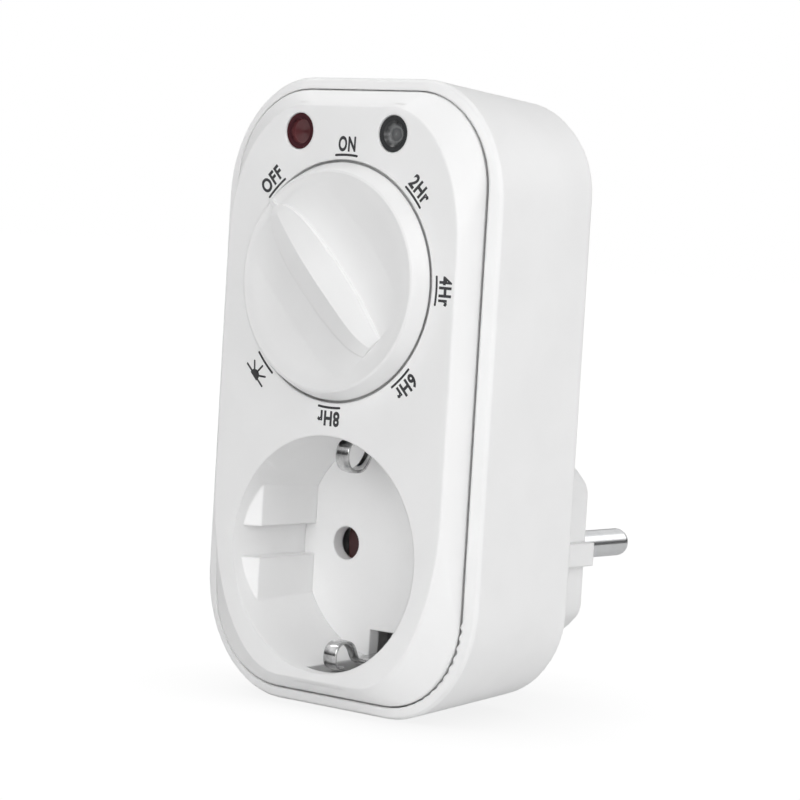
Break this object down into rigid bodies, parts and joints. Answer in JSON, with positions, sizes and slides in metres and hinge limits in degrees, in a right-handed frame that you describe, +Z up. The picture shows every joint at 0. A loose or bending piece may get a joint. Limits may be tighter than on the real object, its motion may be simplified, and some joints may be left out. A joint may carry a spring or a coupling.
{
  "type": "plug-in timer switch",
  "caption": "Plug-in adapter with a rotary timer dial, a red indicator lens, a light-sensor lens and a shuttered earthed socket in front, and a pinned plug boss behind.",
  "frame": {"origin": "centre of the plug's engagement face, on the common axis of plug and socket", "axes": "+X to the right seen from the front, +Y from the front panel to the plug pins, +Z up"},
  "size_m": [0.0574, 0.0761, 0.1024],
  "materials": {
    "white_shell": "satin",
    "white_knob": "satin",
    "natural_nylon": "satin",
    "spring_steel": "polished",
    "blue_moulding": "gloss",
    "red_lens": "gloss",
    "clear_lens": "gloss",
    "sensor_ceramic": "matte",
    "green_board": "satin",
    "yellow_moulding": "gloss",
    "black_moulding": "satin",
    "brown_moulding": "satin",
    "nickel": "bright",
    "brass": "satin",
    "red_shutter": "satin",
    "zinc_steel": "satin"
  },
  "bodies": {
    "case": {"front_cover": "white_shell", "rear_housing": "white_shell", "switch_body": "blue_moulding", "detent_spring": "spring_steel", "indicator_lens": "red_lens", "indicator_led": "red_lens", "sensor_lens": "clear_lens", "sensor_cell": "sensor_ceramic", "circuit_board": "green_board", "relay": "blue_moulding", "mains_capacitor": "yellow_moulding", "reservoir_capacitor": "black_moulding", "varistor": "blue_moulding", "fuse": "brown_moulding", "rectifier_diodes": "black_moulding", "dropper_resistor": "blue_moulding", "controller_chip": "black_moulding", "live_pin": "nickel", "neutral_pin": "nickel", "live_contact": "brass", "neutral_contact": "brass", "contact_block": "black_moulding", "live_input_bar": "brass", "switched_live_bar": "brass", "neutral_bar": "brass", "socket_earth_strap": "nickel", "plug_earth_strap": "nickel", "earth_post": "brass", "plug_earth_tube": "brass", "shutter_spring": "spring_steel", "case_screws": "zinc_steel", "board_screws": "zinc_steel", "socket_floor": "white_shell"},
    "dial": {"knob": "white_knob", "dial_shaft": "natural_nylon", "shaft_ring": "spring_steel", "switch_rotor": "natural_nylon"},
    "shutter_body": {"shutter": "red_shutter"}
  },
  "joints": [
    {"name": "dial_turn", "type": "hinge", "parent": "case", "child": "dial", "pos_m": [0, -0.0526, 0.0441], "axis": [0, 1, 0], "range_deg": [0, 270]},
    {"name": "shutter_turn", "type": "hinge", "parent": "case", "child": "shutter_body", "pos_m": [0, -0.0316, 0], "axis": [0, 1, 0], "range_deg": [0, 40], "stiffness_Nm_per_rad": 0.0008, "springref_deg": -11.46}
  ]
}
